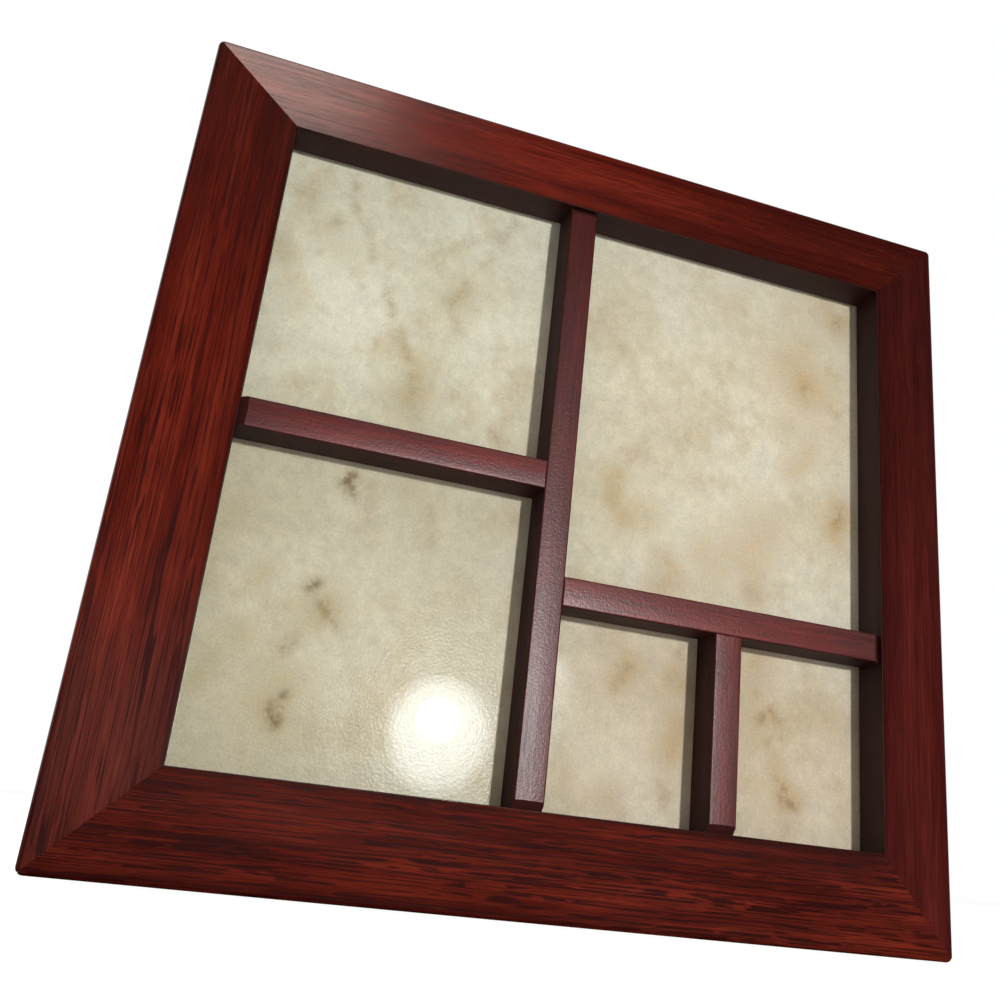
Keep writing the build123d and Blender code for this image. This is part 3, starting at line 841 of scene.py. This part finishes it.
# marks in the parchment print, listed and rounded to whole mm:
# the points that a mark runs through, its radius, its strength
parchmentMarks = {
    "stain": [
        # lower left window
        ([(-61, -107), (-60, -110)], 1.3, 1.0), ([(-55, -107), (-55, -112), (-56, -120)], 1.0, 0.35),
        ([(-39, -112), (-38, -120)], 1.3, 0.35), ([(-65, -136)], 1.2, 1.0),
        ([(-63, -141), (-60, -145)], 1.4, 0.6), ([(-68, -150), (-70, -153)], 1.0, 0.6),
        ([(-68, -164), (-69, -166)], 1.2, 0.8), ([(-70, -168), (-70, -170)], 1.3, 1.0),
        ([(-52, -169), (-51, -173)], 2.0, 0.3), ([(-59, -173)], 2.5, 0.3), ([(-76, -143)], 1.2, 0.3),
        ([(-28, -132)], 2.5, 0.2),
        # upper left window
        ([(-74, -18), (-71, -28)], 1.0, 0.45), ([(-71, -28), (-66, -36), (-64, -41)], 1.0, 0.3),
        ([(-59, -51), (-57, -57)], 1.0, 0.55), ([(-55, -61), (-54, -63)], 1.0, 0.4),
        ([(-52, -65), (-50, -69)], 0.8, 0.5), ([(-49, -75), (-47, -86)], 1.3, 0.35),
        ([(-77, -33)], 1.5, 0.5), ([(-26, -18), (-28, -25)], 1.5, 0.4),
        ([(-32, -33), (-33, -35)], 1.2, 0.3),
        ([(-37, -42), (-39, -45), (-41, -49)], 1.3, 0.45), ([(-41, -50), (-37, -57)], 0.8, 0.4),
        ([(-80, -43)], 0.6, 0.4), ([(-37, -76)], 1.4, 0.4), ([(-25, -84), (-22, -88)], 1.0, 0.5),
        ([(-86, -27)], 2.2, 0.3), ([(-86, -74)], 1.2, 0.25),
        # large window
        ([(85, -21)], 1.8, 0.6), ([(73, -47)], 1.7, 0.5), ([(85, -53)], 1.4, 0.4),
        ([(86, -85), (85, -90)], 1.3, 0.6), ([(16, -83), (21, -81)], 1.7, 0.4), ([(56, -116)], 1.4, 0.35),
        ([(10, -51), (13, -51)], 2.0, 0.35), ([(67, -24)], 2.5, 0.25), ([(85, -41)], 1.6, 0.35),
        ([(11, -38), (5, -46)], 3.5, 0.2),
        # small windows
        ([(20, -144), (19, -147)], 1.6, 0.55), ([(36, -138)], 1.0, 0.6), ([(32, -145)], 1.0, 0.35),
        ([(31, -173), (34, -177)], 1.0, 0.5), ([(61, -152), (64, -150), (67, -152)], 1.2, 0.6),
        ([(63, -158)], 1.0, 0.5), ([(67, -157)], 1.0, 0.45), ([(59, -145)], 0.8, 0.4),
        ([(68, -170), (69, -173), (71, -173)], 1.6, 0.7), ([(70, -180)], 1.3, 0.4),
        ([(75, -161)], 1.2, 0.35),
    ],
    "warmth": [
        # lower left window
        ([(-45, -107)], 3.0, 0.35), ([(-69, -162), (-71, -168)], 4.0, 0.45), ([(-78, -135)], 2.0, 0.4),
        ([(-81, -151)], 2.5, 0.4), ([(-92, -140)], 1.2, 0.45), ([(-87, -121)], 2.5, 0.3),
        ([(-86, -157), (-89, -164)], 1.8, 0.4), ([(-65, -143), (-61, -141)], 3.0, 0.45),
        ([(-75, -158), (-73, -163)], 2.2, 0.3),
        # upper left window
        ([(-49, -81)], 3.5, 0.5), ([(-90, -46)], 3.2, 0.6), ([(-74, -41), (-80, -37)], 3.7, 0.3),
        ([(-84, -61), (-86, -52)], 3.0, 0.25), ([(-38, -46)], 4.0, 0.3),
        # large window
        ([(85, -23)], 4.5, 0.4), ([(71, -43), (75, -50)], 4.7, 0.55), ([(86, -84), (85, -92)], 3.5, 0.5),
        ([(77, -68), (70, -76)], 3.0, 0.4), ([(13, -90), (13, -98), (16, -102)], 2.0, 0.6),
        ([(30, -112), (32, -116), (28, -119)], 2.8, 0.55), ([(57, -116)], 3.0, 0.5),
        ([(72, -37), (75, -32)], 3.0, 0.35), ([(60, -97), (55, -108), (43, -108)], 5.0, 0.4),
        ([(48, -24)], 3.3, 0.25), ([(21, -101)], 4.5, 0.25), ([(68, -62), (79, -63)], 4.2, 0.3),
        # small windows
        ([(20, -146)], 3.2, 0.35), ([(34, -144), (37, -147)], 2.3, 0.55),
        ([(36, -159), (35, -164)], 3.2, 0.55), ([(17, -178)], 2.7, 0.35),
        ([(5, -171), (5, -177)], 1.5, 0.3), ([(64, -152)], 3.0, 0.4),
        ([(69, -172)], 3.5, 0.45), ([(66, -163), (67, -167)], 2.3, 0.5), ([(60, -136)], 2.0, 0.5),
        ([(84, -150)], 2.0, 0.25), ([(59, -139), (58, -156)], 3.4, 0.35), ([(62, -169)], 2.0, 0.3),
    ],
}


# each mark fades away from its line, and the strongest mark at a point counts
def markLevels(spots, marks, spread):
    level = np.zeros(len(spots))
    for line, radius, strength in marks:
        for start, stop in zip(line, line[1:] or line):
            start, run = np.array(start), np.array(stop) - np.array(start)
            share = np.clip((spots - start) @ run / max(run @ run, 1e-6), 0, 1)
            away = np.linalg.norm(spots - start - share[:, None] * run, axis=1)
            level = np.maximum(level, strength * np.exp(-(away / (spread * radius)) ** 2))
    return level


def displaySheet():
    low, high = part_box("display_sheet")
    size = high - low
    columns = round(size.x / sheetShape["gridStep"])
    rows = round(size.z / sheetShape["gridStep"])
    bm = bmesh.new()
    bmesh.ops.create_grid(bm, x_segments=columns, y_segments=rows, size=0.5)
    bmesh.ops.scale(bm, vec=(size.x, size.z, 1), verts=bm.verts)
    bmesh.ops.rotate(bm, cent=(0, 0, 0), matrix=Matrix.Rotation(math.radians(90), 3, "X"), verts=bm.verts)
    bmesh.ops.translate(bm, vec=((low.x + high.x) / 2, low.y, (low.z + high.z) / 2), verts=bm.verts)
    thick = bmesh.ops.extrude_face_region(bm, geom=bm.faces[:])
    backVerts = [item for item in thick["geom"] if isinstance(item, bmesh.types.BMVert)]
    bmesh.ops.translate(bm, vec=(0, size.y, 0), verts=backVerts)
    piece = newPiece("displaySheet", bm, paperFinish, "root", ("display_sheet",))
    spots = np.array([(vert.co.x / mm, vert.co.z / mm) for vert in piece.data.vertices])
    ripples = sheetShape["ripples"]
    waver = sum(reach * np.sin(pace * spots[:, ::-1] + start) for reach, pace, start in ripples)
    for name, marks in parchmentMarks.items():
        levels = markLevels(spots + waver, marks, sheetShape["spread"][name])
        layer = piece.data.attributes.new(name, "FLOAT", "POINT")
        layer.data.foreach_set("value", levels.astype(np.float32))


glassPane()
displaySheet()
print("glass and sheet made")

# Board and leg: covered panels with soft rims and a pressed line round the back
coverShape = {
    "rimRound": 0.45 * mm,
    "boardCorner": 1.5 * mm,
    "boardLine": 9.0 * mm,
    "legTop": 34.0 * mm,
    "legFoot": 57.9 * mm,
    "legCorner": 3.0 * mm,
    "legLine": 4.0 * mm,
    "lineWidth": 0.9 * mm,
    "lineDepth": 0.16 * mm,
}


def coveredPanel(node, widths, cornerRound, lineInset, body):
    low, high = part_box(node)
    bm = bmesh.new()
    bmesh.ops.create_cube(bm, size=1.0)
    bmesh.ops.scale(bm, vec=(1, high.y - low.y, high.z - low.z), verts=bm.verts)
    for side, width in zip((-1, 1), widths):
        bmesh.ops.scale(bm, vec=(width, 1, 1), verts=[vert for vert in bm.verts if vert.co.z * side > 0])
    bmesh.ops.translate(bm, vec=(low + high) / 2, verts=bm.verts)
    corners = [edge for edge in bm.edges if abs(edge.verts[0].co.y - edge.verts[1].co.y) > 1 * mm]
    bmesh.ops.recalc_face_normals(bm, faces=bm.faces)
    back = facesWhere(bm, lambda face: face.normal.y > 0.9)[0]
    # the pressed line: in, down, and up again
    halfLine = coverShape["lineWidth"] / 2
    depth = coverShape["lineDepth"]
    for inset, rise in ((lineInset, 0), (halfLine, -depth), (halfLine, depth)):
        bmesh.ops.inset_region(bm, faces=[back], thickness=inset, use_even_offset=True)
        bmesh.ops.translate(bm, vec=(0, rise, 0), verts=back.verts)
    bevelEdges(bm, corners, cornerRound, 6)
    rims = [edge for edge in bm.edges if near(edge.verts[0].co.y, edge.verts[1].co.y)
            and any(abs(face.normal.y) < 0.5 for face in edge.link_faces)]
    bevelEdges(bm, rims, coverShape["rimRound"], 4)
    newPiece(pieceName(node, "Cover"), bm, boards["blackBoard"], body, (node,), angle=40)


boardLow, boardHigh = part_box("backing_board")
coveredPanel("backing_board", (boardHigh.x - boardLow.x,) * 2, coverShape["boardCorner"],
             coverShape["boardLine"], "root")
coveredPanel("easel_leg", (coverShape["legFoot"], coverShape["legTop"]), coverShape["legCorner"],
             coverShape["legLine"], "leg")
print("board and leg made")

# The rest of the CAD nodes keep their shape and get their finish
finishedNodes = [
    (woods["dowel"], ("divider_dowels",)),
    (metals["plainSteel"], ("corner_v_nails", "hinge_pin")),
    (metals["brassedSteel"], ("sawtooth_hanger", "hanger_nails")),
    (metals["zincSteel"], ("turn_button_screws", "turn_button_left_upper", "turn_button_left_lower",
                           "turn_button_right_upper", "turn_button_right_lower", "hinge_board_leaf",
                           "hinge_leg_leaf", "board_rivets", "leg_rivets")),
    (boards["greyCard"], ("filler_card",)),
    (rubberFinish, ("bumpers",)),
]
for finish, nodes in finishedNodes:
    for node in nodes:
        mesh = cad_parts[node].data
        mesh.materials.clear()
        mesh.materials.append(finish)
print("back fittings finished")

# Camera at the photograph's angle
view = {
    "sensor": 36.0,
    "lens": 36.162,
    "place": (-0.0877, -0.2609, -0.1916),
    "right": (0.94952, -0.29462, 0.10776),
    "forward": (0.24744, 0.91452, 0.32005),
    "clip": (0.01, 50.0),
}


def photoCamera():
    data = bpy.data.cameras.new("photoCamera")
    data.sensor_width = view["sensor"]
    data.lens = view["lens"]
    data.clip_start, data.clip_end = view["clip"]
    camera = bpy.data.objects.new("photoCamera", data)
    bpy.context.scene.collection.objects.link(camera)
    right = Vector(view["right"]).normalized()
    forward = Vector(view["forward"]).normalized()
    upward = right.cross(forward).normalized()
    turned = Matrix((right, upward, -forward)).transposed().to_4x4()
    camera.matrix_world = Matrix.Translation(view["place"]) @ turned
    bpy.context.scene.camera = camera


photoCamera()

# Floor: white to the camera, dark in mirrors
floorLook = {
    "reach": 6.0,
    "roughness": 0.9,
    "specular": 0.1,
    "lit": (0.9, 0.9, 0.9, 1),
    "mirrored": (0.03, 0.03, 0.03, 1),
    "glow": 1.16,
    "glowShare": 0.82,
}


def paleFloor():
    bm = bmesh.new()
    bmesh.ops.create_grid(bm, x_segments=4, y_segments=4, size=floorLook["reach"])
    bmesh.ops.translate(bm, vec=(0, 0, places["outerBottom"]), verts=bm.verts)
    mesh = bpy.data.meshes.new("paleFloor")
    bm.to_mesh(mesh)
    bm.free()
    floor = bpy.data.objects.new("paleFloor", mesh)
    bpy.context.scene.collection.objects.link(floor)
    material, tree, shader = startMaterial("paleFloor")
    shader.inputs["Roughness"].default_value = floorLook["roughness"]
    shader.inputs["Specular IOR Level"].default_value = floorLook["specular"]
    path = put(tree, "LightPath")
    feed(tree, shader.inputs["Base Color"],
         mixColours(tree, path.outputs["Is Glossy Ray"], floorLook["lit"], floorLook["mirrored"]))
    white = put(tree, "Emission", {"Color": (1, 1, 1, 1), "Strength": floorLook["glow"]})
    share = calc(tree, "MULTIPLY", path.outputs["Is Camera Ray"], floorLook["glowShare"])
    mixOver(tree, share, shader.outputs[0], white.outputs[0])
    mesh.materials.append(material)


paleFloor()

# Lamps: the key and the discs of its soft halo, one over the other, then the fills
plainLamp = {"target": (0, 0, -0.1), "shape": "ELLIPSE", "tone": (1, 1, 1)}
bluish = (0.93, 0.97, 1)
paler = (0.96, 0.98, 1)
lamps = {
    "key": {"place": (0.3524, -1.657, 0.0148), "size": (0.08, 0.08), "watts": 16.8},
    "keyGlowA": {"place": (0.356, -1.66, -0.012), "size": (0.17, 0.188), "watts": 0.0855, "tone": bluish},
    "keyGlowB": {"place": (0.356, -1.66, -0.013), "size": (0.187, 0.206), "watts": 0.103, "tone": bluish},
    "keyGlowC": {"place": (0.357, -1.66, -0.015), "size": (0.204, 0.226), "watts": 0.1225, "tone": bluish},
    "keyGlowInner": {"place": (0.35, -1.66, -0.008), "size": (0.156, 0.164), "watts": 0.042, "tone": paler},
    "keyGlowCore": {"place": (0.348, -1.66, -0.006), "size": (0.13, 0.134), "watts": 0.016, "tone": paler},
    "keyGlowOuter": {"place": (0.36, -1.66, -0.04), "size": (0.25, 0.28), "watts": 0.1, "tone": bluish},
    "overhead": {"place": (-0.24, -0.55, 1.07), "target": (-0.06, 0, -0.05), "size": (0.44, 0.34),
                 "watts": 2.8, "shape": "RECTANGLE", "tone": (1, 0.878, 0.795)},
    "side": {"place": (-0.75, -1.14, -0.11), "target": (-0.1, 0, -0.15), "size": (0.3, 0.3),
             "watts": 0.26, "shape": "RECTANGLE", "tone": (1, 0.95, 0.92)},
    "back": {"place": (0.5, 1.3, 0.7), "size": (0.8, 0.8), "watts": 12, "shape": "RECTANGLE"},
}


def hangLamp(name, lamp):
    data = bpy.data.lights.new(name + "Lamp", "AREA")
    data.shape = lamp["shape"]
    data.size, data.size_y = lamp["size"]
    data.energy = lamp["watts"]
    data.color = lamp["tone"]
    holder = bpy.data.objects.new(name + "Lamp", data)
    bpy.context.scene.collection.objects.link(holder)
    holder.location = lamp["place"]
    direction = Vector(lamp["target"]) - Vector(lamp["place"])
    holder.rotation_mode = "QUATERNION"
    holder.rotation_quaternion = direction.to_track_quat("-Z", "Y")
    holder.visible_camera = False


for name, lamp in lamps.items():
    hangLamp(name, {**plainLamp, **lamp})

# The room: white to the camera and behind the frame, dim elsewhere and in mirrors
roomLight = {"plain": 0.18, "mirrored": 0.02, "behindFrom": -0.1, "behindBy": 0.4}


def studioWorld():
    world = bpy.data.worlds.new("studio")
    bpy.context.scene.world = world
    world.use_nodes = True
    tree = world.node_tree
    tree.nodes.clear()
    output = tree.nodes.new("ShaderNodeOutputWorld")
    path = put(tree, "LightPath")
    glossyRay = path.outputs["Is Glossy Ray"]
    direction = put(tree, "TexCoord").outputs["Generated"]
    behind = ramp(tree, axisOf(tree, direction, "Y"), roomLight["behindFrom"], roomLight["behindBy"])
    mirroredBehind = calc(tree, "MULTIPLY", behind, glossyRay)
    throughGlass = calc(tree, "MULTIPLY", behind, path.outputs["Is Transmission Ray"])
    seen = calc(tree, "MAXIMUM", path.outputs["Is Camera Ray"], mirroredBehind)
    seen = calc(tree, "MAXIMUM", seen, throughGlass)
    dimmed = calc(tree, "MULTIPLY", glossyRay, roomLight["plain"] - roomLight["mirrored"])
    room = calc(tree, "SUBTRACT", roomLight["plain"], dimmed)
    sky = put(tree, "Background", {"Color": (1, 1, 1, 1), "Strength": calc(tree, "MAXIMUM", seen, room)})
    tree.links.new(sky.outputs[0], output.inputs["Surface"])


studioWorld()
bpy.context.scene.view_settings.view_transform = "Standard"
print("stage lit")
